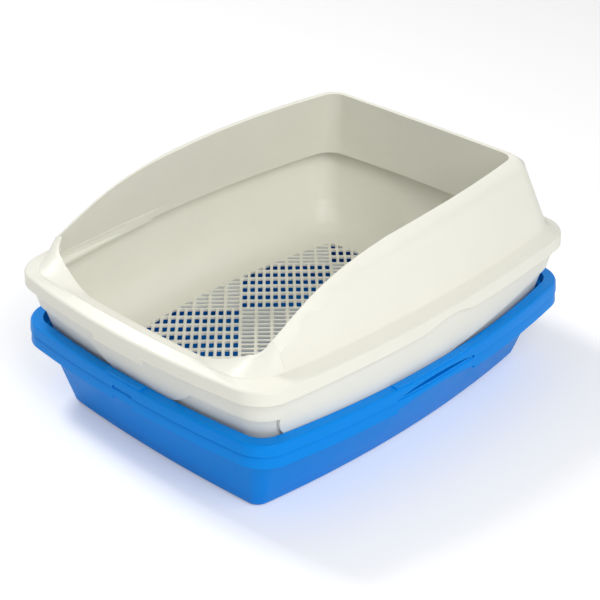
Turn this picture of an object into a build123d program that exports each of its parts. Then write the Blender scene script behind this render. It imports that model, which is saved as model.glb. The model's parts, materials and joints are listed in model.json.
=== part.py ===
from build123d import *
import math
import os

# A sifting litter box: two nesting pans, a sifting pan that stands on the upper
# pan's inner ledge, and a high-walled frame that sits over the sifting pan's rim.
# X runs across the box, Y from the low entry (-Y) to the tall back (+Y), Z is up.
# The origin is under the middle of the lower pan, on the floor.

# Litter pans: both are the same moulding, and they nest
PAN_WALL = 1.8
PAN_HEIGHT = 85.0
NEST_PITCH = 12.5
NEST_GAP = 0.3
FOOT_HALF_X = 135.0
FOOT_HALF_Y = 195.5
FOOT_BOW_X = 15.5
FOOT_BOW_Y = 5.5
FOOT_CORNER = 14.0
FOOT_ROUND = 5.0
RIM_HALF_X = 170.6
RIM_HALF_Y = 224.3
RIM_BOW_X = 24.3
RIM_BOW_Y = 10.9
RIM_CORNER = 35.4
RIM_LAND = 10.8
RIM_ROUND = 2.5
RIM_FLARE = 1.0
LEDGE_DROP = 10.0
LEDGE_WIDTH = 4.5
LUG_THICKNESS = 3.0
SIDE_LUG_Y = 125.0
END_LUG_X = 90.0
PAD_RISE = 1.8
PAD_SETBACK = 1.4
PAD_CLEARANCE = 0.7
SIDE_PAD_LENGTH = 112.0
SIDE_PAD_Y = -10.0
FRONT_PAD_LENGTH = 50.0
FRONT_PAD_X = -5.0
SIDE_NOTCH_LENGTH = 112.0
SIDE_NOTCH_RISE = 7.5
SIDE_NOTCH_END = 2.6
FRONT_NOTCH_LENGTH = 28.0
FRONT_NOTCH_RISE = 3.2

# Sifting pan
SIFTER_WALL = 2.0
SIFTER_STAND = 64.5
SIFTER_DEPTH = 97.5
SIFTER_FLOOR_HALF_X = 142.5
SIFTER_FLOOR_HALF_Y = 199.5
SIFTER_FLOOR_BOW_X = 17.0
SIFTER_FLOOR_BOW_Y = 6.0
SIFTER_FLOOR_CORNER = 42.0
SIFTER_FLOOR_ROUND = 24.0
SIFTER_WAIST_FIT = 1.2
SIFTER_WAIST_CORNER = 30.0
SIFTER_BODY_INSET = 2.6
SKIRT_DEPTH = 36.0
SKIRT_FIT = 0.8
SKIRT_CORNER = 30.0
SKIRT_FRONT_Y = -196.0
SKIRT_RISE_Y = -65.0
SKIRT_REAR_Y = 207.0
SKIRT_FRONT_ROUND = 26.0
END_SKIRT_REACH = 70.0
END_SKIRT_X = 10.0
END_SKIRT_SINK = 0.5

# Sieve slots, laid as parquet cells turned 45 degrees
SIEVE_THICKNESS = 3.0
SIEVE_SEAT = 3.0
CELL = 100.0
SLOTS_ACROSS = 8
SLOTS_ALONG = 4
SLOT_WIDTH = 7.5
SLOT_LENGTH = 20.0
SIEVE_MARGIN = 3.0

# Frame
FRAME_WALL = 2.0
FRAME_FIT = 0.6
FRAME_HALF_X = 173.7
FRAME_HALF_Y = 225.5
FRAME_BOW_X = 17.3
FRAME_BOW_Y = 16.0
FRAME_CORNER = 38.7
FRAME_SKIRT = 12.0
FRAME_DRAFT = 0.6
FLANGE_THICKNESS = 2.0
FLANGE_ROUND = 2.5
FLANGE_CROWN = 4.5
HOOD_BASE_HALF_X = 158.7
HOOD_BASE_HALF_Y = 220.9
HOOD_BASE_BOW_X = 16.2
HOOD_BASE_BOW_Y = 7.7
HOOD_BASE_CORNER = 41.0
HOOD_TOP_HALF_X = 122.5
HOOD_TOP_HALF_Y = 185.6
HOOD_TOP_BOW_X = 17.5
HOOD_TOP_BOW_Y = 1.0
HOOD_TOP_CORNER = 15.5
HOOD_SHOULDER = 12.5
HOOD_HEIGHT = 80.0
HOOD_CREST_Y = 110.0
HOOD_MIDDLE_DROP = 2.7
HOOD_REAR_DROP = 1.8
HOOD_CHEEK_Y = -132.0
HOOD_CHEEK_DROP = 23.3
HOOD_BROW_Y = -190.0
HOOD_BROW_DROP = 49.3
HOOD_FOOT_Y = -260.0
HOOD_FOOT_DROP = 82.3
HOOD_FOOT_SLOPE = 0.6
HOOD_REAR_SLOPE = -0.01
HOOD_NOSE_Y = -208.0
HOOD_NOSE_BULGE = 1.8
ENTRY_REACH = 60.0
ENTRY_STEP = 0.6
ENTRY_SLOPE_WALL = 2.4
LIP_HALF_X = 146.5
LIP_HALF_Y = 202.9
LIP_BOW_X = 17.5
LIP_BOW_Y = 7.0
LIP_CORNER = 24.0
LIP_DROP = 2.7
TAB_LENGTH = 68.0
TAB_X = -2.0
TAB_DEPTH = 5.5
RELIEF_LENGTH = 66.0
RELIEF_Y = 12.0
RELIEF_RISE = 6.0

# Tall walls rise in courses, and a quarter round is made of flat steps
COURSE = 25.0
FOOT_STEPS = 2
INNER_STEPS = 1
RIM_STEPS = 2
FLOOR_STEPS = 3
FLANGE_STEPS = 2

# Heights and plans that follow from the sizes above
LEDGE_Z = PAN_HEIGHT - LEDGE_DROP
SKIRT_FOOT_Z = PAN_HEIGHT - NEST_PITCH + NEST_GAP
STAND_Z = NEST_PITCH + LEDGE_Z
SIFTER_RIM_Z = STAND_Z + SIFTER_STAND
SIFTER_FLOOR_Z = SIFTER_RIM_Z - SIFTER_DEPTH
SIFTER_UNDER_Z = SIFTER_FLOOR_Z - SIEVE_THICKNESS
SKIRT_EDGE_Z = SIFTER_RIM_Z - SKIRT_DEPTH
FRAME_FOOT_Z = SIFTER_RIM_Z - FRAME_SKIRT
DECK_Z = SIFTER_RIM_Z + FLANGE_THICKNESS
SILL_Z = DECK_Z + FLANGE_CROWN
HOOD_TOP_Z = SIFTER_RIM_Z + HOOD_HEIGHT
LIP_Z = SIFTER_RIM_Z - LIP_DROP
FAR = 400.0


def inset(plan, distance):
    """The same plan with every side moved inwards by a distance."""
    half_x, half_y, bow_x, bow_y, corner = plan
    return (half_x - distance, half_y - distance, bow_x, bow_y, corner - distance)


def blend(low, high, share):
    """A plan part of the way from one plan to another."""
    return tuple(a + (b - a) * share for a, b in zip(low, high))


FOOT = (FOOT_HALF_X, FOOT_HALF_Y, FOOT_BOW_X, FOOT_BOW_Y, FOOT_CORNER)
RIM = (RIM_HALF_X, RIM_HALF_Y, RIM_BOW_X, RIM_BOW_Y, RIM_CORNER)
MOUTH = inset(RIM, RIM_LAND)
THROAT = inset(MOUTH, LEDGE_WIDTH)
FRAME_EDGE = (FRAME_HALF_X, FRAME_HALF_Y, FRAME_BOW_X, FRAME_BOW_Y, FRAME_CORNER)
SIFTER_RIM = inset(FRAME_EDGE, FRAME_WALL + FRAME_DRAFT + FRAME_FIT)
SIFTER_TOP = inset(SIFTER_RIM, SIFTER_BODY_INSET)
SIFTER_WAIST = inset(THROAT, SIFTER_WAIST_FIT)[:4] + (SIFTER_WAIST_CORNER,)
SIFTER_FLOOR = (
    SIFTER_FLOOR_HALF_X,
    SIFTER_FLOOR_HALF_Y,
    SIFTER_FLOOR_BOW_X,
    SIFTER_FLOOR_BOW_Y,
    SIFTER_FLOOR_CORNER,
)
SIEVE = inset(SIFTER_FLOOR, SIFTER_FLOOR_ROUND + SIEVE_SEAT)
HOOD_BASE = (
    HOOD_BASE_HALF_X,
    HOOD_BASE_HALF_Y,
    HOOD_BASE_BOW_X,
    HOOD_BASE_BOW_Y,
    HOOD_BASE_CORNER,
)
HOOD_MOUTH = (
    HOOD_TOP_HALF_X,
    HOOD_TOP_HALF_Y,
    HOOD_TOP_BOW_X,
    HOOD_TOP_BOW_Y,
    HOOD_TOP_CORNER,
)
HOOD_TOP = inset(HOOD_MOUTH, -HOOD_SHOULDER)
LIP = (LIP_HALF_X, LIP_HALF_Y, LIP_BOW_X, LIP_BOW_Y, LIP_CORNER)


def bowed_plan(plan, z):
    """A level face at height z: a rectangle with bowed sides and round corners."""
    half_x, half_y, bow_x, bow_y, corner = plan
    right = ThreePointArc((half_x, -half_y), (half_x + bow_x, 0), (half_x, half_y))
    back = ThreePointArc((half_x, half_y), (0, half_y + bow_y), (-half_x, half_y))
    left = ThreePointArc((-half_x, half_y), (-half_x - bow_x, 0), (-half_x, -half_y))
    front = ThreePointArc((-half_x, -half_y), (0, -half_y - bow_y), (half_x, -half_y))
    face = make_face([right, back, left, front])
    face = fillet(face.vertices(), corner)
    return Pos(0, 0, z) * face


def stack(sections):
    """A solid through level plans, each given with its height, straight between them."""
    return loft([bowed_plan(plan, z) for plan, z in sections], ruled=True)


def courses(low, low_z, high, high_z):
    """Even sections from one plan to another, none further apart than one course."""
    count = math.ceil((high_z - low_z) / COURSE)
    shares = [step / count for step in range(count + 1)]
    return [(blend(low, high, share), low_z + (high_z - low_z) * share) for share in shares]


def tapered(low, low_z, high, high_z):
    """A solid whose plan changes steadily between two heights."""
    return stack(courses(low, low_z, high, high_z))


def prism(plan, low_z, high_z):
    """A solid with one plan all the way up."""
    return extrude(bowed_plan(plan, low_z), high_z - low_z, dir=(0, 0, 1))


def quarter(radius, steps):
    """The points of a quarter round, as (distance in, distance from the flat face)."""
    angles = [math.pi / 2 * step / steps for step in range(steps + 1)]
    return [(radius * (1 - math.sin(a)), radius * (1 - math.cos(a))) for a in angles]


def round_foot(low, low_z, high, high_z, radius, steps):
    """Sections of a wall whose lowest edge is rounded."""
    sections = []
    for inward, rise in quarter(radius, steps):
        wall = blend(low, high, rise / (high_z - low_z))
        sections.append((inset(wall, inward), low_z + rise))
    wall_foot, wall_foot_z = sections.pop()
    return sections + courses(wall_foot, wall_foot_z, high, high_z)


def round_top(low, low_z, high, high_z, radius, steps):
    """Sections of a wall whose highest edge is rounded."""
    sections = round_foot(high, -high_z, low, -low_z, radius, steps)
    return [(plan, -z) for plan, z in reversed(sections)]


def across(profile):
    """A closed profile drawn in (y, z), run across the whole width along X."""
    face = Plane.YZ * make_face(profile)
    return Pos(-FAR, 0, 0) * extrude(face, 2 * FAR, dir=(1, 0, 0))


def endwise(profile):
    """A closed profile drawn in (x, z), run along the whole length in Y."""
    face = Plane.XZ * make_face(profile)
    return Pos(0, -FAR, 0) * extrude(face, 2 * FAR, dir=(0, 1, 0))


def above(z):
    """Everything above a height."""
    return Pos(0, 0, z + FAR) * Box(2 * FAR, 2 * FAR, 2 * FAR)


def strip_y(centre, length):
    """Everything within a length of Y about a centre."""
    return Pos(0, centre, 0) * Box(2 * FAR, length, 2 * FAR)


def strip_x(centre, length):
    """Everything within a length of X about a centre."""
    return Pos(centre, 0, 0) * Box(length, 2 * FAR, 2 * FAR)


def make_pan():
    """One litter pan, standing on the floor."""
    ledge_under = LEDGE_Z - PAN_WALL
    outside = inset(THROAT, -PAN_WALL)
    body = stack(round_foot(FOOT, 0, outside, ledge_under, FOOT_ROUND, FOOT_STEPS))
    hollow_floor = inset(blend(FOOT, outside, PAN_WALL / ledge_under), PAN_WALL)
    hollow_round = FOOT_ROUND - PAN_WALL
    hollow = stack(round_foot(hollow_floor, PAN_WALL, THROAT, LEDGE_Z, hollow_round, INNER_STEPS))
    neck = prism(inset(MOUTH, -PAN_WALL), ledge_under, PAN_HEIGHT - PAN_WALL / 2)
    pan = body + neck + pan_rim() + stacking_lugs()
    pan -= hollow
    pan -= prism(MOUTH, LEDGE_Z, PAN_HEIGHT + FAR)
    pan += handle_pads()
    return pan - side_notch() - front_notch()


def pan_rim():
    """The rim: a broad land with a rounded edge, and a short skirt round it."""
    flared = inset(RIM, -RIM_FLARE)
    outside = stack(round_top(flared, SKIRT_FOOT_Z, RIM, PAN_HEIGHT, RIM_ROUND, RIM_STEPS))
    under_land = PAN_HEIGHT - PAN_WALL
    inside = tapered(inset(flared, PAN_WALL), SKIRT_FOOT_Z, inset(RIM, PAN_WALL), under_land)
    return outside - inside


def stacking_lugs():
    """Ribs under the land that stand on the land of the pan below, at the nest pitch."""
    low_z = PAN_HEIGHT - NEST_PITCH
    high_z = PAN_HEIGHT - PAN_WALL / 2
    ring = prism(inset(RIM, PAN_WALL / 2), low_z, high_z)
    ring -= prism(inset(MOUTH, -PAN_WALL / 2), low_z, high_z)
    places = strip_y(SIDE_LUG_Y, LUG_THICKNESS) + strip_y(-SIDE_LUG_Y, LUG_THICKNESS)
    places += strip_x(END_LUG_X, LUG_THICKNESS) + strip_x(-END_LUG_X, LUG_THICKNESS)
    return ring & places


def handle_pads():
    """Raised pads on the land, clear of the skirt and neck of a pan stacked above."""
    low_z = PAN_HEIGHT - PAN_WALL / 2
    high_z = PAN_HEIGHT + PAD_RISE
    ring = prism(inset(RIM, PAD_SETBACK), low_z, high_z)
    ring -= prism(inset(MOUTH, -PAN_WALL - PAD_CLEARANCE), low_z, high_z)
    return ring & (strip_y(SIDE_PAD_Y, SIDE_PAD_LENGTH) + strip_x(FRONT_PAD_X, FRONT_PAD_LENGTH))


def side_notch():
    """Arched notches in the skirt's lower edge on both long sides."""
    low = SKIRT_FOOT_Z - NEST_PITCH
    near = SIDE_PAD_Y - SIDE_NOTCH_LENGTH / 2
    far = SIDE_PAD_Y + SIDE_NOTCH_LENGTH / 2
    shoulder = SKIRT_FOOT_Z + SIDE_NOTCH_END
    crest = SKIRT_FOOT_Z + SIDE_NOTCH_RISE
    outline = [
        Line((near, low), (near, shoulder)),
        ThreePointArc((near, shoulder), (SIDE_PAD_Y, crest), (far, shoulder)),
        Line((far, shoulder), (far, low)),
        Line((far, low), (near, low)),
    ]
    return across(outline) - prism(inset(RIM, 2 * PAN_WALL), 0, PAN_HEIGHT)


def front_notch():
    """Short notches in the skirt's lower edge at the front and the back."""
    notch = strip_x(FRONT_PAD_X, FRONT_NOTCH_LENGTH) - above(SKIRT_FOOT_Z + FRONT_NOTCH_RISE)
    return notch - prism(inset(RIM, 2 * PAN_WALL), -FAR, PAN_HEIGHT)


def make_sifting_pan():
    """The sifting pan's walls, rim and skirt, standing in the upper litter pan."""
    sections = round_foot(
        SIFTER_FLOOR, SIFTER_UNDER_Z, SIFTER_WAIST, STAND_Z, SIFTER_FLOOR_ROUND, FLOOR_STEPS
    )
    body = stack(sections + courses(SIFTER_WAIST, STAND_Z, SIFTER_TOP, SIFTER_RIM_Z)[1:])
    rim = prism(SIFTER_RIM, SIFTER_RIM_Z - SIFTER_WALL, SIFTER_RIM_Z)
    pan = body + rim + sifter_skirt() - sifter_hollow()
    return pan - prism(SIEVE, SIFTER_UNDER_Z, SIFTER_FLOOR_Z)


def sifter_hollow():
    """The inside of the sifting pan, one wall inside its body."""
    share = SIEVE_THICKNESS / (STAND_Z - SIFTER_UNDER_Z)
    floor = inset(blend(SIFTER_FLOOR, SIFTER_WAIST, share), SIFTER_WALL)
    waist = inset(SIFTER_WAIST, SIFTER_WALL)
    radius = SIFTER_FLOOR_ROUND - SIFTER_WALL
    sections = round_foot(floor, SIFTER_FLOOR_Z, waist, STAND_Z, radius, FLOOR_STEPS)
    return stack(sections + courses(waist, STAND_Z, inset(SIFTER_TOP, SIFTER_WALL), SIFTER_RIM_Z)[1:])


def sifter_skirt():
    """The skirt under the rim: short at the corners, deep where it stands on the ledge."""
    pan_top = NEST_PITCH + PAN_HEIGHT
    seat = inset(MOUTH, SKIRT_FIT)[:4] + (SKIRT_CORNER,)
    sections = [(seat, STAND_Z)] + courses(seat, pan_top, SIFTER_RIM, SIFTER_RIM_Z)
    band = stack(sections) - stack([(inset(plan, SIFTER_WALL), z) for plan, z in sections])
    return band & (above(SKIRT_EDGE_Z) + side_skirt() + end_skirt())


def side_skirt():
    """The long sides' skirt: level on the ledge, then a long straight rise to the rear."""
    front_foot = (SKIRT_FRONT_Y, STAND_Z)
    rise_foot = (SKIRT_RISE_Y, STAND_Z)
    rear_foot = (SKIRT_REAR_Y, SKIRT_EDGE_Z)
    rear_top = (SKIRT_REAR_Y, SIFTER_RIM_Z)
    front_top = (SKIRT_FRONT_Y, SIFTER_RIM_Z)
    outline = [
        Line(front_foot, rise_foot),
        Line(rise_foot, rear_foot),
        Line(rear_foot, rear_top),
        Line(rear_top, front_top),
        Line(front_top, front_foot),
    ]
    solid = across(outline)
    front_corner = solid.faces().sort_by(Axis.Y)[0].edges().sort_by(Axis.Z)[0]
    solid = fillet(front_corner, SKIRT_FRONT_ROUND)
    return solid - strip_x(0, 2 * (SIFTER_FLOOR_HALF_X - SIFTER_FLOOR_CORNER))


def end_skirt():
    """The front and back skirt: an arc that comes down to the ledge in the middle."""
    left = (END_SKIRT_X - END_SKIRT_REACH, SKIRT_EDGE_Z)
    right = (END_SKIRT_X + END_SKIRT_REACH, SKIRT_EDGE_Z)
    foot = (END_SKIRT_X, STAND_Z - END_SKIRT_SINK)
    outline = [ThreePointArc(left, foot, right), Line(right, left)]
    return endwise(outline) - strip_y(0, 2 * (SIFTER_FLOOR_HALF_Y - SIFTER_FLOOR_CORNER))


def in_plan(plan, x, y):
    """Whether a point lies inside a bowed plan."""
    half_x, half_y, bow_x, bow_y, corner = plan
    limit_x = half_x + bow_x * (1 - (y / half_y) ** 2)
    limit_y = half_y + bow_y * (1 - (x / half_x) ** 2)
    if abs(x) > limit_x or abs(y) > limit_y:
        return False
    over_x = max(abs(x) - limit_x + corner, 0)
    over_y = max(abs(y) - limit_y + corner, 0)
    return math.hypot(over_x, over_y) <= corner


def parquet_slots():
    """Every slot's outline: square cells turned 45 degrees, alternate ones crosswise."""
    reach = math.ceil((SIEVE[0] + SIEVE[1]) / CELL)
    bounds = inset(SIEVE, SIEVE_MARGIN)
    slot = Rectangle(SLOT_WIDTH, SLOT_LENGTH)
    slots = []
    for column in range(-reach, reach + 1):
        for row in range(-reach, reach + 1):
            cell = Rot(0, 0, 45) * Pos(column * CELL, row * CELL)
            if (column + row) % 2 == 0:
                cell = cell * Rot(0, 0, 90)
            grid = GridLocations(CELL / SLOTS_ACROSS, CELL / SLOTS_ALONG, SLOTS_ACROSS, SLOTS_ALONG)
            for place in grid:
                outline = cell * place * slot
                if all(in_plan(bounds, corner.X, corner.Y) for corner in outline.vertices()):
                    slots.append(outline.face().outer_wire())
    return slots


def make_sieve_floor():
    """The slotted floor of the sifting pan."""
    outline = bowed_plan(SIEVE, 0).face().outer_wire()
    floor = Face(outline, parquet_slots())
    return Pos(0, 0, SIFTER_UNDER_Z) * extrude(floor, SIEVE_THICKNESS, dir=(0, 0, 1))


def make_high_frame():
    """The frame: skirt, crowned flange, hollow hood walls and the inner lip."""
    deck = inset(FRAME_EDGE, FRAME_DRAFT)
    sections = round_top(FRAME_EDGE, FRAME_FOOT_Z, deck, DECK_Z, FLANGE_ROUND, FLANGE_STEPS)
    frame = stack(sections + [(HOOD_BASE, SILL_Z)])
    frame += hood_block(HOOD_BASE, HOOD_TOP, HOOD_SHOULDER, 0)
    frame -= mouth_opening(0)
    frame -= tapered(LIP, LIP_Z, HOOD_BASE, SILL_Z) & entry_way(0)
    frame -= frame_hollow()
    frame += clip_tab()
    return frame - side_relief()


def hood_block(base, top, shoulder, lowered):
    """The hood as a full block: leaning walls, falling top line, eased shoulder and nose."""
    raised_z = HOOD_TOP_Z + FRAME_WALL
    block = tapered(base, SILL_Z, top, raised_z) & under_top_line(lowered)
    bevel = shoulder * (2 - math.sqrt(2))
    block = chamfer(top_face(block).edges().filter_by(Axis.X, reverse=True), bevel)
    return block - nose_region(lowered)


def top_face(block):
    """The broad face under the hood's top line."""
    crest = HOOD_TOP_Z - HOOD_SHOULDER
    return block.faces().filter_by(lambda face: face.center().Z > crest).sort_by(SortBy.AREA)[-1]


def under_top_line(lowered):
    """What lies under the hood's top line, seen from the side, lowered by a wall."""
    crest_z = HOOD_TOP_Z - lowered
    foot = (HOOD_FOOT_Y, crest_z - HOOD_FOOT_DROP)
    rear = (FAR, crest_z - HOOD_REAR_DROP)
    points = [
        foot,
        (HOOD_BROW_Y, crest_z - HOOD_BROW_DROP),
        (HOOD_CHEEK_Y, crest_z - HOOD_CHEEK_DROP),
        (0, crest_z - HOOD_MIDDLE_DROP),
        (HOOD_CREST_Y, crest_z),
        rear,
    ]
    outline = [
        Spline(points, tangents=[(1, HOOD_FOOT_SLOPE), (1, HOOD_REAR_SLOPE)]),
        Line(rear, (FAR, 0)),
        Line((FAR, 0), (HOOD_FOOT_Y, 0)),
        Line((HOOD_FOOT_Y, 0), foot),
    ]
    return across(outline)


def nose_region(lowered):
    """What lies in front of the hood's rounded front ends."""
    foot = (HOOD_NOSE_Y + lowered, SILL_Z - lowered)
    brow = (HOOD_BROW_Y + lowered, HOOD_TOP_Z - HOOD_BROW_DROP - lowered)
    middle_y = (foot[0] + brow[0]) / 2 - HOOD_NOSE_BULGE
    middle_z = (foot[1] + brow[1]) / 2 + HOOD_NOSE_BULGE
    outline = [
        ThreePointArc(foot, (middle_y, middle_z), brow),
        Line(brow, (brow[0], FAR)),
        Line((brow[0], FAR), (-FAR, FAR)),
        Line((-FAR, FAR), (-FAR, 0)),
        Line((-FAR, 0), (foot[0], 0)),
        Line((foot[0], 0), foot),
    ]
    return across(outline)


def sill_region():
    """What lies in front of the hood's nose."""
    return Pos(0, HOOD_NOSE_Y - FAR, 0) * Box(2 * FAR, 2 * FAR, 2 * FAR)


def entry_way(grown):
    """The low entry's width, as far down as the lip, for the sill's inward slope."""
    share = (SILL_Z - LIP_Z) / (HOOD_TOP_Z + FRAME_WALL - LIP_Z)
    plan = inset(blend(LIP, HOOD_MOUTH, share), ENTRY_STEP - grown)
    return Pos(0, -ENTRY_REACH, 0) * prism(plan, FRAME_FOOT_Z, SILL_Z + FLANGE_CROWN)


def mouth_opening(grown):
    """The way in: the tapered opening, and the low entry between the hood's front ends."""
    raised_z = HOOD_TOP_Z + FRAME_WALL
    opening = tapered(inset(LIP, -grown), LIP_Z, inset(HOOD_MOUTH, -grown), raised_z)
    entry = Pos(0, -ENTRY_REACH, 0) * opening
    return opening + (entry & above(SILL_Z - grown))


def frame_hollow():
    """The open underside of the frame, one wall inside every outer face."""
    low_inside = inset(FRAME_EDGE, FRAME_WALL)
    rim_inside = inset(FRAME_EDGE, FRAME_WALL + FRAME_DRAFT)
    hood_inside = inset(HOOD_BASE, FRAME_WALL)
    hood_top_inside = inset(HOOD_TOP, FRAME_WALL)
    under_sill = prism(hood_inside, SIFTER_RIM_Z, SILL_Z)
    hollow = hood_block(hood_inside, hood_top_inside, HOOD_SHOULDER - FRAME_WALL, FRAME_WALL)
    hollow += under_sill - nose_region(FRAME_WALL)
    hollow += prism(hood_inside, SIFTER_RIM_Z, SILL_Z - FRAME_WALL) & sill_region()
    hollow += tapered(low_inside, FRAME_FOOT_Z, rim_inside, SIFTER_RIM_Z)
    hollow -= mouth_opening(FRAME_WALL)
    slope = tapered(LIP, LIP_Z - ENTRY_SLOPE_WALL, HOOD_BASE, SILL_Z - ENTRY_SLOPE_WALL)
    slope -= prism(LIP, FRAME_FOOT_Z, SILL_Z)
    return hollow - (slope & entry_way(FRAME_WALL))


def clip_tab():
    """The deeper tab in the middle of the front skirt."""
    low_z = FRAME_FOOT_Z - TAB_DEPTH
    tab = prism(FRAME_EDGE, low_z, FRAME_FOOT_Z)
    tab -= prism(inset(FRAME_EDGE, FRAME_WALL), low_z, FRAME_FOOT_Z)
    return tab & strip_x(TAB_X, TAB_LENGTH) & sill_region()


def side_relief():
    """Arched reliefs in the skirt's lower edge on both long sides."""
    near = (RELIEF_Y - RELIEF_LENGTH / 2, FRAME_FOOT_Z)
    far = (RELIEF_Y + RELIEF_LENGTH / 2, FRAME_FOOT_Z)
    crest = (RELIEF_Y, FRAME_FOOT_Z + RELIEF_RISE)
    outline = [ThreePointArc(near, crest, far), Line(far, near)]
    return across(outline)


if __name__ == "__main__":
    os.makedirs("parts", exist_ok=True)
    litter_pan = make_pan()
    export_step(litter_pan, "parts/lower_pan.step")
    export_step(Pos(0, 0, NEST_PITCH) * litter_pan, "parts/upper_pan.step")
    export_step(make_sifting_pan(), "parts/sifting_pan.step")
    export_step(make_sieve_floor(), "parts/sieve_floor.step")
    export_step(make_high_frame(), "parts/high_frame.step")
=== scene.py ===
"""Sifting litter box: the finish of its mouldings, and the studio that it stands in."""

import json
import logging
import math
from collections.abc import Callable
from dataclasses import dataclass
from enum import Enum

import bpy
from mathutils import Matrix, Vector

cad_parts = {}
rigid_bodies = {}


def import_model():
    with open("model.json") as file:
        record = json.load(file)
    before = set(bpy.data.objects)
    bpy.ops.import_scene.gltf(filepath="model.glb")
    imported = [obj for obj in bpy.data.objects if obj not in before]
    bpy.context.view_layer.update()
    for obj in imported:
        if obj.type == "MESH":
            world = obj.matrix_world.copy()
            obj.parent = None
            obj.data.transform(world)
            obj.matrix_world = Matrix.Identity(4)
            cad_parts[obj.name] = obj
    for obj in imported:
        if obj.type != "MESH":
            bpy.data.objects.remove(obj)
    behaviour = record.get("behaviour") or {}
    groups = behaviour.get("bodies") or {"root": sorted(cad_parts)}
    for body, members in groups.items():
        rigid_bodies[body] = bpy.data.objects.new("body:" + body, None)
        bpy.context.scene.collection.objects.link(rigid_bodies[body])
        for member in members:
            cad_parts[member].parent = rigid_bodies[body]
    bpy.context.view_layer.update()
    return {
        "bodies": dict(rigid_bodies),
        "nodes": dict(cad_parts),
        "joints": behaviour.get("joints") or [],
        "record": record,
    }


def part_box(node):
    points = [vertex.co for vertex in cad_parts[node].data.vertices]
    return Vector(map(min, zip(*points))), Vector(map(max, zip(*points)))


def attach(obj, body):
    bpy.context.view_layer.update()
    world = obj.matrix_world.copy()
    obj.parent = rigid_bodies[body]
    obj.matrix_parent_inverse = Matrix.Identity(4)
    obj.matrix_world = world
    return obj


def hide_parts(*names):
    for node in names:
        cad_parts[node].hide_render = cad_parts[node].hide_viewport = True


LOG = logging.getLogger("litter_box")

MM = 0.001
MERGE_DISTANCE = 0.002 * MM
FLAT_ANGLE = math.radians(0.2)
BEVEL_SEGMENTS = 2
NORMAL_WEIGHT = 80
FACES_UP = 0.9
MOSTLY_LEVEL = 0.5


class Resin(Enum):
    """The two coloured resins that the box is moulded in."""

    PAN_BLUE = "#008ae8"
    CREAM = "#efeee2"


def linear_colour(hex_colour: str) -> tuple[float, float, float, float]:
    """Turn a hex colour, by the sRGB curve, to the linear values that a shader socket takes.

    Args:
        hex_colour: A colour such as "#efeee2".

    Returns:
        Linear red, green and blue, and an alpha of 1.
    """
    channels = []
    for start in (1, 3, 5):
        value = int(hex_colour[start : start + 2], 16) / 255
        if value <= 0.04045:
            channels.append(value / 12.92)
        else:
            channels.append(((value + 0.055) / 1.055) ** 2.4)
    return (*channels, 1.0)


def add_node(
    tree: bpy.types.NodeTree,
    kind: str,
    settings: dict[str, object],
    links: dict[str, bpy.types.NodeSocket],
) -> bpy.types.Node:
    """Add one shader node.

    Args:
        tree: The node tree to add it to.
        kind: The node's type, such as "ShaderNodeBump".
        settings: Attributes of the node or, where it has none of that name, values of its sockets.
        links: Sockets of earlier nodes, by the name of the input that each one feeds.

    Returns:
        The new node.
    """
    node = tree.nodes.new(kind)
    for name, value in settings.items():
        if hasattr(node, name):
            setattr(node, name, value)
        else:
            node.inputs[name].default_value = value
    for name, socket in links.items():
        tree.links.new(socket, node.inputs[name])
    return node


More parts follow.
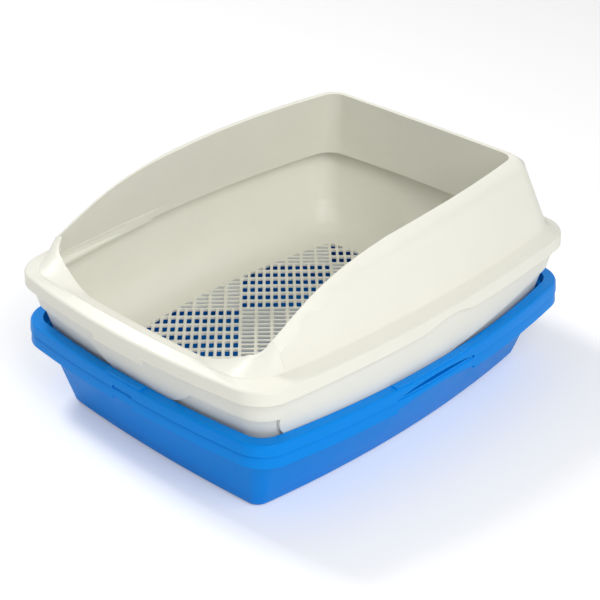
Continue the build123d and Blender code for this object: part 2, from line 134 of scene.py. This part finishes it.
@dataclass(frozen=True)
class MouldedPolypropylene:
    """Injection-moulded polypropylene from a polished tool.

    The eye sees a waxy satin with a broad soft highlight, a little light carried inside
    the wall, faint flow waves and a trace of dust-fine unevenness in the gloss.
    """

    name: str
    resin: Resin
    roughness: float = 0.34
    ior: float = 1.49
    mirror_level: float = 0.5
    glow_depth_mm: float = 1.2
    glow_weight: float = 0.12
    wave_length_mm: float = 38.0
    wave_height_mm: float = 0.05
    grain_size_mm: float = 0.9
    grain_height_mm: float = 0.006
    gloss_change: float = 0.06
    gloss_drift_mm: float = 22.0
    cloud_size_mm: float = 60.0
    deeper_tint: float = 0.955

    def material(self) -> bpy.types.Material:
        """Build the node material.

        Returns:
            The new material.
        """
        material = bpy.data.materials.new(self.name)
        material.use_nodes = True
        tree = material.node_tree
        shader = tree.nodes["Principled BSDF"]
        colour = linear_colour(self.resin.value)
        place = add_node(tree, "ShaderNodeTexCoord", {}, {}).outputs["Object"]
        tint = self.tint(tree, place, colour)
        tree.links.new(tint, shader.inputs["Base Color"])
        tree.links.new(self.gloss(tree, place), shader.inputs["Roughness"])
        tree.links.new(self.surface(tree, place), shader.inputs["Normal"])
        shader.inputs["IOR"].default_value = self.ior
        shader.inputs["Specular IOR Level"].default_value = self.mirror_level
        shader.inputs["Subsurface Weight"].default_value = self.glow_weight
        shader.inputs["Subsurface Scale"].default_value = self.glow_depth_mm * MM
        shader.inputs["Subsurface Radius"].default_value = (1.0, 1.0, 1.0)
        return material

    def tint(
        self,
        tree: bpy.types.NodeTree,
        place: bpy.types.NodeSocket,
        colour: tuple[float, float, float, float],
    ) -> bpy.types.NodeSocket:
        """Vary the resin's colour very slightly, as uneven masterbatch does.

        Args:
            tree: The material's node tree.
            place: Object coordinates.
            colour: The resin's linear colour.

        Returns:
            A colour socket.
        """
        cloud = self.noise(tree, place, self.cloud_size_mm, 2.0)
        deeper = tuple(channel * self.deeper_tint for channel in colour[:3]) + (1.0,)
        mix = add_node(tree, "ShaderNodeMix", {"data_type": "RGBA"}, {})
        mix.inputs[6].default_value = deeper
        mix.inputs[7].default_value = colour
        tree.links.new(cloud, mix.inputs["Factor"])
        return mix.outputs[2]

    def gloss(self, tree: bpy.types.NodeTree, place: bpy.types.NodeSocket) -> bpy.types.NodeSocket:
        """Roughness that drifts a little over the moulding.

        Args:
            tree: The material's node tree.
            place: Object coordinates.

        Returns:
            A roughness socket.
        """
        drift = self.noise(tree, place, self.gloss_drift_mm, 3.0)
        low = self.roughness - self.gloss_change
        high = self.roughness + self.gloss_change
        spread = add_node(
            tree, "ShaderNodeMapRange", {"To Min": low, "To Max": high}, {"Value": drift}
        )
        return spread.outputs["Result"]

    def surface(
        self, tree: bpy.types.NodeTree, place: bpy.types.NodeSocket
    ) -> bpy.types.NodeSocket:
        """Long flow waves with a fine grain on top of them.

        Args:
            tree: The material's node tree.
            place: Object coordinates.

        Returns:
            A normal socket.
        """
        waves = self.noise(tree, place, self.wave_length_mm, 1.0)
        grain = self.noise(tree, place, self.grain_size_mm, 1.0)
        wave_bump = add_node(
            tree, "ShaderNodeBump", {"Distance": self.wave_height_mm * MM}, {"Height": waves}
        )
        grain_bump = add_node(
            tree,
            "ShaderNodeBump",
            {"Distance": self.grain_height_mm * MM},
            {"Height": grain, "Normal": wave_bump.outputs["Normal"]},
        )
        return grain_bump.outputs["Normal"]

    def noise(
        self,
        tree: bpy.types.NodeTree,
        place: bpy.types.NodeSocket,
        size_mm: float,
        detail: float,
    ) -> bpy.types.NodeSocket:
        """Soft noise of a given size.

        Args:
            tree: The material's node tree.
            place: Object coordinates.
            size_mm: The size of its patches.
            detail: How many finer layers it has.

        Returns:
            A value socket.
        """
        settings = {"Scale": 1 / (size_mm * MM), "Detail": detail}
        return add_node(tree, "ShaderNodeTexNoise", settings, {"Vector": place}).outputs["Fac"]


BLUE_PLASTIC = MouldedPolypropylene(
    "blue_moulded_polypropylene", Resin.PAN_BLUE, mirror_level=0.12
)
CREAM_PLASTIC = MouldedPolypropylene("cream_moulded_polypropylene", Resin.CREAM, roughness=0.4)


def select_only(piece: bpy.types.Object) -> None:
    """Make one object the only one that is selected, and the active one.

    Args:
        piece: The object.
    """
    if bpy.context.mode != "OBJECT":
        bpy.ops.object.mode_set(mode="OBJECT")
    bpy.ops.object.select_all(action="DESELECT")
    piece.select_set(True)
    bpy.context.view_layer.objects.active = piece


def select_faces(
    piece: bpy.types.Object, wanted: Callable[[bpy.types.MeshPolygon], bool]
) -> None:
    """Select faces in code and leave the piece in edit mode, choosing by face.

    Args:
        piece: The mesh object.
        wanted: Says of a face whether it is to be selected.
    """
    select_only(piece)
    bpy.ops.object.mode_set(mode="EDIT")
    bpy.ops.mesh.select_mode(type="FACE")
    bpy.ops.mesh.select_all(action="DESELECT")
    bpy.ops.object.mode_set(mode="OBJECT")
    for face in piece.data.polygons:
        face.select = wanted(face)
    bpy.ops.object.mode_set(mode="EDIT")


def apply_modifier(piece: bpy.types.Object, kind: str, settings: dict[str, object]) -> None:
    """Add a modifier to a piece, set it and apply it.

    Args:
        piece: The mesh object.
        kind: The modifier's type, such as "BEVEL".
        settings: Its settings by name.
    """
    select_only(piece)
    modifier = piece.modifiers.new(kind.lower(), kind)
    for name, value in settings.items():
        setattr(modifier, name, value)
    bpy.ops.object.modifier_apply(modifier=modifier.name)


def merged_copy(node: bpy.types.Object, name: str) -> bpy.types.Object:
    """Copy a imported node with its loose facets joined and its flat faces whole.

    Args:
        node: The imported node.
        name: The new piece's name.

    Returns:
        The new piece.
    """
    piece = bpy.data.objects.new(name, node.data.copy())
    bpy.context.scene.collection.objects.link(piece)
    piece.data.materials.clear()
    select_faces(piece, lambda face: True)
    bpy.ops.mesh.remove_doubles(threshold=MERGE_DISTANCE)
    bpy.ops.mesh.customdata_custom_splitnormals_clear()
    bpy.ops.mesh.dissolve_limited(angle_limit=FLAT_ANGLE)
    bpy.ops.object.mode_set(mode="OBJECT")
    return piece


@dataclass
class Moulding:
    """One moulding of the box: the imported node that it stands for, its body and its finish.

    A moulding has no true sharp edge: the tool's edges are broken by hand, so each one
    gets a fine round that catches a line of light.
    """

    node: str
    body: str
    slot: str
    finish: MouldedPolypropylene
    edge_round_mm: float = 0.5
    smooth_angle: float = math.radians(34)

    def build(self, frame: dict, materials: dict[str, bpy.types.Material]) -> bpy.types.Object:
        """Make the piece that is seen, and let it ride on its body.

        Args:
            materials: Finished materials by name.

        Returns:
            The new piece.
        """
        piece = self.shape(frame["nodes"][self.node])
        piece.data.materials.append(materials[self.finish.name])
        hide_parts(self.node)
        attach(piece, self.body)
        LOG.info("%s rides on %s with %d faces", piece.name, self.body, len(piece.data.polygons))
        return piece

    def shape(self, node: bpy.types.Object) -> bpy.types.Object:
        """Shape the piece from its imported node.

        Args:
            node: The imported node.

        Returns:
            The shaped piece.
        """
        piece = merged_copy(node, f"{self.node}_shell")
        self.soften(piece)
        return piece

    def soften(self, piece: bpy.types.Object) -> None:
        """Round the sharp edges, and shade the rounds smoothly between flat faces.

        Args:
            piece: The mesh object.
        """
        rounding = {
            "width": self.edge_round_mm * MM,
            "segments": BEVEL_SEGMENTS,
            "limit_method": "ANGLE",
            "angle_limit": self.smooth_angle,
            "harden_normals": False,
        }
        apply_modifier(piece, "BEVEL", rounding)
        bpy.ops.object.shade_smooth_by_angle(angle=self.smooth_angle)
        apply_modifier(piece, "WEIGHTED_NORMAL", {"keep_sharp": True, "weight": NORMAL_WEIGHT})


@dataclass
class ParquetSieve(Moulding):
    """The sifting pan's floor: square cells of slots, alternate ones laid crosswise."""

    cell_mm: float = 100.0
    slots_across: int = 12
    slots_along: int = 6
    slot_width_mm: float = 5.2
    slot_length_mm: float = 13.4
    corner_mm: float = 1.3
    lead_in_mm: float = 0.45
    margin_mm: float = 3.0
    pattern_shift_mm: float = -8.0
    turned_cells: tuple[int, int] = (3, 3)
    crossed_cells: tuple[int, int] = (3, 4)
    reach: float = 5.0

    def shape(self, node: bpy.types.Object) -> bpy.types.Object:
        """Cut the parquet of slots through a plain plate of the node's outline.

        Args:
            node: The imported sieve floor.

        Returns:
            The shaped piece.
        """
        plate = self.plain_plate(node)
        low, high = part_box(self.node)
        cutter = self.slot_cells(low, high)
        bounds = self.plain_plate(node)
        margin = self.margin_mm * MM
        bounds.scale = (1 - margin / high.x, 1 - margin / high.y, 1)
        select_only(bounds)
        bpy.ops.object.transform_apply(location=False, rotation=False, scale=True)
        self.stretch_upright(bounds, low.z, high.z)
        inside = {"operation": "INTERSECT", "solver": "EXACT", "object": bounds}
        apply_modifier(cutter, "BOOLEAN", inside)
        slots = {"operation": "DIFFERENCE", "solver": "EXACT", "object": cutter}
        apply_modifier(plate, "BOOLEAN", slots)
        for tool in (cutter, bounds):
            bpy.data.objects.remove(tool, do_unlink=True)
        select_only(plate)
        bpy.ops.object.shade_smooth_by_angle(angle=self.smooth_angle)
        return plate

    def plain_plate(self, node: bpy.types.Object) -> bpy.types.Object:
        """The node's outline as a plate with no slots.

        Args:
            node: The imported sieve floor.

        Returns:
            The plate.
        """
        plate = merged_copy(node, f"{self.node}_shell")
        select_faces(plate, lambda face: abs(face.normal.z) > MOSTLY_LEVEL)
        bpy.ops.mesh.delete(type="FACE")
        bpy.ops.object.mode_set(mode="OBJECT")
        edge = max(plate.data.vertices, key=lambda vertex: vertex.co.y).index
        bpy.ops.object.mode_set(mode="EDIT")
        bpy.ops.mesh.select_mode(type="VERT")
        bpy.ops.mesh.select_all(action="DESELECT")
        bpy.ops.object.mode_set(mode="OBJECT")
        plate.data.vertices[edge].select = True
        bpy.ops.object.mode_set(mode="EDIT")
        bpy.ops.mesh.select_linked()
        bpy.ops.mesh.select_all(action="INVERT")
        bpy.ops.mesh.delete(type="VERT")
        bpy.ops.mesh.select_all(action="SELECT")
        bpy.ops.mesh.fill_holes(sides=0)
        bpy.ops.mesh.normals_make_consistent(inside=False)
        bpy.ops.object.mode_set(mode="OBJECT")
        return plate

    def stretch_upright(self, bounds: bpy.types.Object, low_z: float, high_z: float) -> None:
        """Make a plate reach well past both faces of the floor.

        Args:
            bounds: The plate.
            low_z: The floor's underside.
            high_z: The floor's top.
        """
        middle = (low_z + high_z) / 2
        select_faces(bounds, lambda face: True)
        bpy.ops.transform.resize(value=(1, 1, self.reach), center_override=(0, 0, middle))
        bpy.ops.object.mode_set(mode="OBJECT")

    def slot_cells(self, low: Vector, high: Vector) -> bpy.types.Object:
        """Cutters for every slot, in cells turned 45 degrees.

        Args:
            low: The floor's lowest corner.
            high: Its highest corner.

        Returns:
            One object with all the cutters.
        """
        pitch = self.cell_mm * MM * math.sqrt(2)
        turned = self.slot_cell(low.z, high.z, math.radians(-45))
        crossed = self.slot_cell(low.z, high.z, math.radians(45))
        shift = self.pattern_shift_mm * MM
        self.lay_out(turned, (shift - pitch, shift - pitch), self.turned_cells, pitch)
        crossed_start = (shift - pitch / 2, shift - 1.5 * pitch)
        self.lay_out(crossed, crossed_start, self.crossed_cells, pitch)
        select_only(turned)
        crossed.select_set(True)
        bpy.ops.object.join()
        return turned

    def lay_out(
        self,
        cell: bpy.types.Object,
        start: tuple[float, float],
        count: tuple[int, int],
        pitch: float,
    ) -> None:
        """Repeat a cell of cutters over the floor.

        Args:
            cell: One cell, centred on the origin.
            start: The first cell's centre.
            count: How many cells across and along.
            pitch: From one cell's centre to the next of its kind.
        """
        cell.location = (start[0], start[1], 0)
        select_only(cell)
        bpy.ops.object.transform_apply(location=True, rotation=False, scale=False)
        self.repeat(cell, count[0], (pitch, 0, 0))
        self.repeat(cell, count[1], (0, pitch, 0))

    def repeat(
        self, piece: bpy.types.Object, count: int, step: tuple[float, float, float]
    ) -> None:
        """Copy what a piece holds a number of times, each copy one step on.

        Args:
            piece: The mesh object.
            count: How many there are in the end, the first one included.
            step: From one to the next, in metres.
        """
        spacing = {
            "count": count,
            "use_relative_offset": False,
            "use_constant_offset": True,
            "constant_offset_displace": step,
        }
        apply_modifier(piece, "ARRAY", spacing)

    def slot_cell(self, low_z: float, high_z: float, turn: float) -> bpy.types.Object:
        """One square cell of slot cutters, centred on the origin.

        Args:
            low_z: The floor's underside.
            high_z: The floor's top.
            turn: The angle that the cell is turned by.

        Returns:
            The cell.
        """
        cell = self.slot_cutter(low_z, high_z)
        across = self.cell_mm / self.slots_across * MM
        along = self.cell_mm / self.slots_along * MM
        cell.location = (
            -across * (self.slots_across - 1) / 2,
            -along * (self.slots_along - 1) / 2,
            0,
        )
        select_only(cell)
        bpy.ops.object.transform_apply(location=True, rotation=False, scale=False)
        self.repeat(cell, self.slots_across, (across, 0, 0))
        self.repeat(cell, self.slots_along, (0, along, 0))
        cell.rotation_euler = (0, 0, turn)
        select_only(cell)
        bpy.ops.object.transform_apply(location=False, rotation=True, scale=False)
        return cell

    def slot_cutter(self, low_z: float, high_z: float) -> bpy.types.Object:
        """One slot's cutter: round corners, and a lead-in that widens at the top.

        Args:
            low_z: The floor's underside.
            high_z: The floor's top.

        Returns:
            The cutter, centred on the origin.
        """
        over = 1 * MM
        lead_in = self.lead_in_mm * MM
        foot_z = low_z - over
        top_z = high_z - lead_in
        width = self.slot_width_mm * MM
        length = self.slot_length_mm * MM
        bpy.ops.object.select_all(action="DESELECT")
        bpy.ops.mesh.primitive_cube_add(
            size=1,
            location=(0, 0, (foot_z + top_z) / 2),
            scale=(width, length, top_z - foot_z),
        )
        cutter = bpy.context.active_object
        bpy.ops.object.transform_apply(location=True, rotation=True, scale=True)
        bpy.ops.object.mode_set(mode="EDIT")
        bpy.ops.mesh.select_mode(type="EDGE")
        bpy.ops.mesh.select_all(action="DESELECT")
        bpy.ops.object.mode_set(mode="OBJECT")
        for edge in cutter.data.edges:
            ends = [cutter.data.vertices[index].co for index in edge.vertices]
            edge.select = abs(ends[0].z - ends[1].z) > over
        bpy.ops.object.mode_set(mode="EDIT")
        bpy.ops.mesh.bevel(offset=self.corner_mm * MM, segments=BEVEL_SEGMENTS, affect="EDGES")
        select_faces(cutter, lambda face: face.normal.z > FACES_UP)
        steep = (lead_in / 3, lead_in * 2 / 3)
        shallow = (lead_in * 2 / 3, lead_in / 3)
        for widened, raised in (steep, shallow, (0.0, over)):
            growth = ((width + 2 * widened) / width, (length + 2 * widened) / length, 1)
            bpy.ops.mesh.extrude_region_move(TRANSFORM_OT_translate={"value": (0, 0, raised)})
            bpy.ops.transform.resize(value=growth, center_override=(0, 0, high_z))
            width, length = width + 2 * widened, length + 2 * widened
        bpy.ops.object.mode_set(mode="OBJECT")
        return cutter


# The wall that turns in round the right front corner, in mm. Each section goes from the sill's
# ridge over the shoulder to the mouth and down to the lip. They follow the wall from the side
# to the front, where the last one sinks a little below the sill.
CORNER_SECTIONS = (
    (
        (163.4, -186.0, 158.4),
        (157.1, -186.0, 176.8),
        (149.3, -186.0, 183.7),
        (145.0, -186.0, 183.0),
        (149.4, -186.0, 149.3),
    ),
    (
        (161.8, -192.5, 158.4),
        (155.4, -192.0, 172.5),
        (148.0, -192.5, 178.0),
        (142.6, -192.0, 176.4),
        (148.6, -189.5, 149.3),
    ),
    (
        (158.5, -200.5, 158.4),
        (151.0, -199.5, 168.0),
        (143.0, -198.5, 172.6),
        (137.2, -196.8, 171.4),
        (146.3, -194.0, 149.3),
    ),
    (
        (152.5, -210.0, 158.4),
        (145.0, -207.0, 164.3),
        (137.0, -203.5, 168.3),
        (130.5, -199.0, 169.0),
        (142.0, -198.5, 149.3),
    ),
    (
        (144.5, -218.0, 158.4),
        (138.0, -213.5, 162.2),
        (130.5, -208.0, 165.0),
        (125.0, -200.6, 165.6),
        (136.0, -202.5, 149.3),
    ),
    (
        (134.0, -223.1, 158.4),
        (129.0, -217.5, 160.2),
        (123.0, -210.5, 161.9),
        (117.5, -202.2, 162.2),
        (127.5, -204.8, 149.3),
    ),
    (
        (119.0, -225.2, 158.3),
        (116.0, -219.0, 158.2),
        (111.0, -212.3, 158.2),
        (106.0, -204.5, 157.2),
        (113.0, -206.0, 149.2),
    ),
    (
        (101.0, -226.6, 158.2),
        (100.0, -220.3, 156.6),
        (96.5, -213.8, 155.0),
        (92.0, -206.8, 152.6),
        (96.0, -207.4, 149.0),
    ),
    (
        (80.0, -227.8, 158.0),
        (79.0, -221.3, 155.2),
        (77.5, -215.0, 152.2),
        (76.0, -208.3, 149.0),
        (76.0, -209.0, 148.3),
    ),
)


@dataclass
class WrappedFrame(Moulding):
    """The high frame, whose side walls turn in round the front corners and fade into the sill."""

    wall_mm: float = 1.2
    steps: int = 4
    cut_y_mm: float = -186.5
    cut_z_mm: float = 158.8
    nose_x_mm: float = 145.0
    cutter_size_mm: tuple[float, float, float] = (90.0, 60.0, 60.0)

    def shape(self, node: bpy.types.Object) -> bpy.types.Object:
        """Replace the plain noses of the walls by the two turned corners.

        Args:
            node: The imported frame.

        Returns:
            The shaped piece.
        """
        piece = merged_copy(node, f"{self.node}_shell")
        for side in (-1, 1):
            self.cut_nose(piece, side)
        self.soften(piece)
        corners = [self.corner(side) for side in (-1, 1)]
        select_only(piece)
        for corner in corners:
            corner.select_set(True)
        bpy.ops.object.join()
        return piece

    def cut_nose(self, piece: bpy.types.Object, side: int) -> None:
        """Cut the front end of one side wall off above the sill.

        Args:
            piece: The frame.
            side: 1 for the right wall and -1 for the left one.
        """
        size = [length * MM for length in self.cutter_size_mm]
        centre = (
            side * self.nose_x_mm * MM,
            self.cut_y_mm * MM - size[1] / 2,
            self.cut_z_mm * MM + size[2] / 2,
        )
        bpy.ops.object.select_all(action="DESELECT")
        bpy.ops.mesh.primitive_cube_add(size=1, location=centre, scale=size)
        cutter = bpy.context.active_object
        cut = {"operation": "DIFFERENCE", "solver": "EXACT", "object": cutter}
        apply_modifier(piece, "BOOLEAN", cut)
        bpy.data.objects.remove(cutter, do_unlink=True)

    def corner(self, side: int) -> bpy.types.Object:
        """One turned corner, as a thin shell that follows the sections.

        Args:
            side: 1 for the right corner and -1 for the left one.

        Returns:
            The corner.
        """
        rails = list(zip(*CORNER_SECTIONS))
        columns = (len(CORNER_SECTIONS) - 1) * self.steps
        bpy.ops.object.select_all(action="DESELECT")
        bpy.ops.mesh.primitive_grid_add(
            x_subdivisions=columns, y_subdivisions=len(rails) - 1, size=1
        )
        shell = bpy.context.active_object
        for row, rail in enumerate(rails):
            for column in range(columns + 1):
                place = self.along(rail, column / self.steps)
                vertex = shell.data.vertices[row * (columns + 1) + column]
                vertex.co = Vector((side * place.x, place.y, place.z)) * MM
        select_faces(shell, lambda face: True)
        bpy.ops.mesh.normals_make_consistent(inside=False)
        bpy.ops.object.mode_set(mode="OBJECT")
        on_the_shoulder = columns * 3 // 2
        if shell.data.polygons[on_the_shoulder].normal.z < 0:
            select_faces(shell, lambda face: True)
            bpy.ops.mesh.flip_normals()
            bpy.ops.object.mode_set(mode="OBJECT")
        inwards = {"thickness": self.wall_mm * MM, "offset": -1.0}
        apply_modifier(shell, "SOLIDIFY", inwards)
        self.soften(shell)
        return shell

    def along(self, rail: tuple[tuple[float, float, float], ...], place: float) -> Vector:
        """A point on the smooth (Catmull-Rom) curve through a rail's points.

        Args:
            rail: The points that the curve goes through, in mm.
            place: How far along, where each whole number is a point.

        Returns:
            The point, in mm.
        """
        last = len(rail) - 1
        start = min(int(place), last - 1)
        part = place - start
        around = (max(0, min(last, start + step)) for step in (-1, 0, 1, 2))
        before, near, far, after = (Vector(rail[index]) for index in around)
        bend = (2 * before - 5 * near + 4 * far - after) * part**2
        bend += (3 * near - before - 3 * far + after) * part**3
        return near + ((far - before) * part + bend) / 2


@dataclass
class Studio:
    """A white sweep, soft lamps and the camera of the photograph."""

    camera_azimuth: float = 43.93
    camera_elevation: float = 29.58
    camera_distance: float = 1.6405
    aim: tuple[float, float, float] = (0.0153, -0.0140, 0.1036)
    lens_mm: float = 96.66
    sensor_mm: float = 36.0
    floor_size: float = 30.0
    floor_colour: str = "#f4f4f4"
    floor_lift: float = 0.2
    floor_roughness: float = 0.9
    lamp_aim: tuple[float, float, float] = (0.0, 0.0, 0.1)
    key_place: tuple[float, float, float] = (-1.5, -0.3, 2.2)
    key_size: float = 0.6
    key_power: float = 28.0
    side_place: tuple[float, float, float] = (1.9, -0.7, 1.7)
    side_size: float = 1.5
    side_power: float = 36.0
    sky_strength: float = 0.38

    def build(self) -> None:
        """Make the floor, the lamps, the world and the camera."""
        self.floor()
        self.lamp("key_lamp", self.key_place, self.key_size, self.key_power)
        self.lamp("side_lamp", self.side_place, self.side_size, self.side_power)
        self.sky()
        self.camera()
        bpy.context.scene.view_settings.view_transform = "Standard"

    def floor(self) -> None:
        """A plain pale floor that shows near white and keeps the object's shadow."""
        bpy.ops.object.select_all(action="DESELECT")
        bpy.ops.mesh.primitive_plane_add(size=self.floor_size, location=(0, 0, 0))
        plane = bpy.context.active_object
        plane.name = "studio_floor"
        material = bpy.data.materials.new("matte_white_sweep")
        material.use_nodes = True
        tree = material.node_tree
        shader = tree.nodes["Principled BSDF"]
        shader.inputs["Base Color"].default_value = linear_colour(self.floor_colour)
        shader.inputs["Roughness"].default_value = self.floor_roughness
        shader.inputs["Emission Color"].default_value = (1, 1, 1, 1)
        seen = add_node(tree, "ShaderNodeLightPath", {}, {}).outputs["Is Camera Ray"]
        lift = add_node(tree, "ShaderNodeMath", {"operation": "MULTIPLY"}, {})
        lift.inputs[1].default_value = self.floor_lift
        tree.links.new(seen, lift.inputs[0])
        tree.links.new(lift.outputs["Value"], shader.inputs["Emission Strength"])
        plane.data.materials.append(material)

    def lamp(
        self, name: str, place: tuple[float, float, float], size: float, power: float
    ) -> None:
        """A square soft lamp that looks at the middle of the box.

        Args:
            name: The lamp's name.
            place: Where it hangs, in metres.
            size: The side of its square.
            power: Its power in watts.
        """
        light = bpy.data.lights.new(name, "AREA")
        light.size = size
        light.energy = power
        lamp = bpy.data.objects.new(name, light)
        bpy.context.scene.collection.objects.link(lamp)
        lamp.location = place
        towards = Vector(self.lamp_aim) - Vector(place)
        lamp.rotation_euler = towards.to_track_quat("-Z", "Y").to_euler()

    def sky(self) -> None:
        """White to the camera and in reflections, and a softer even light on the object."""
        world = bpy.data.worlds.new("studio_sky")
        bpy.context.scene.world = world
        world.use_nodes = True
        tree = world.node_tree
        background = tree.nodes["Background"]
        background.inputs["Color"].default_value = (1, 1, 1, 1)
        path = add_node(tree, "ShaderNodeLightPath", {}, {})
        seen = add_node(tree, "ShaderNodeMath", {"operation": "MAXIMUM"}, {})
        tree.links.new(path.outputs["Is Camera Ray"], seen.inputs[0])
        tree.links.new(path.outputs["Is Glossy Ray"], seen.inputs[1])
        strength = add_node(
            tree,
            "ShaderNodeMapRange",
            {"To Min": self.sky_strength, "To Max": 1.0},
            {"Value": seen.outputs["Value"]},
        )
        tree.links.new(strength.outputs["Result"], background.inputs["Strength"])

    def camera(self) -> None:
        """The camera where the photograph was taken from."""
        azimuth = math.radians(self.camera_azimuth)
        elevation = math.radians(self.camera_elevation)
        back = Vector(
            (
                math.sin(azimuth) * math.cos(elevation),
                -math.cos(azimuth) * math.cos(elevation),
                math.sin(elevation),
            )
        )
        data = bpy.data.cameras.new("photo_camera")
        data.sensor_width = self.sensor_mm
        data.lens = self.lens_mm
        camera = bpy.data.objects.new("photo_camera", data)
        bpy.context.scene.collection.objects.link(camera)
        camera.location = Vector(self.aim) + back * self.camera_distance
        camera.rotation_euler = (-back).to_track_quat("-Z", "Y").to_euler()
        bpy.context.scene.camera = camera


def main() -> None:
    """Build the box piece by piece, then the studio."""
    logging.basicConfig(level=logging.INFO, format="%(message)s")
    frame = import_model()
    finishes = (BLUE_PLASTIC, CREAM_PLASTIC)
    materials = {finish.name: finish.material() for finish in finishes}
    mouldings = [
        Moulding("lower_pan", "lower_pan_body", "pan_plastic", BLUE_PLASTIC),
        Moulding("upper_pan", "upper_pan_body", "pan_plastic", BLUE_PLASTIC),
        Moulding("sifting_pan", "sifter_body", "sifter_plastic", CREAM_PLASTIC),
        ParquetSieve("sieve_floor", "sifter_body", "sifter_plastic", CREAM_PLASTIC),
        WrappedFrame(
            "high_frame",
            "frame_body",
            "frame_plastic",
            CREAM_PLASTIC,
            edge_round_mm=0.8,
            smooth_angle=math.radians(50),
        ),
    ]
    for moulding in mouldings:
        moulding.build(frame, materials)
    Studio().build()


if __name__ == "__main__":
    main()
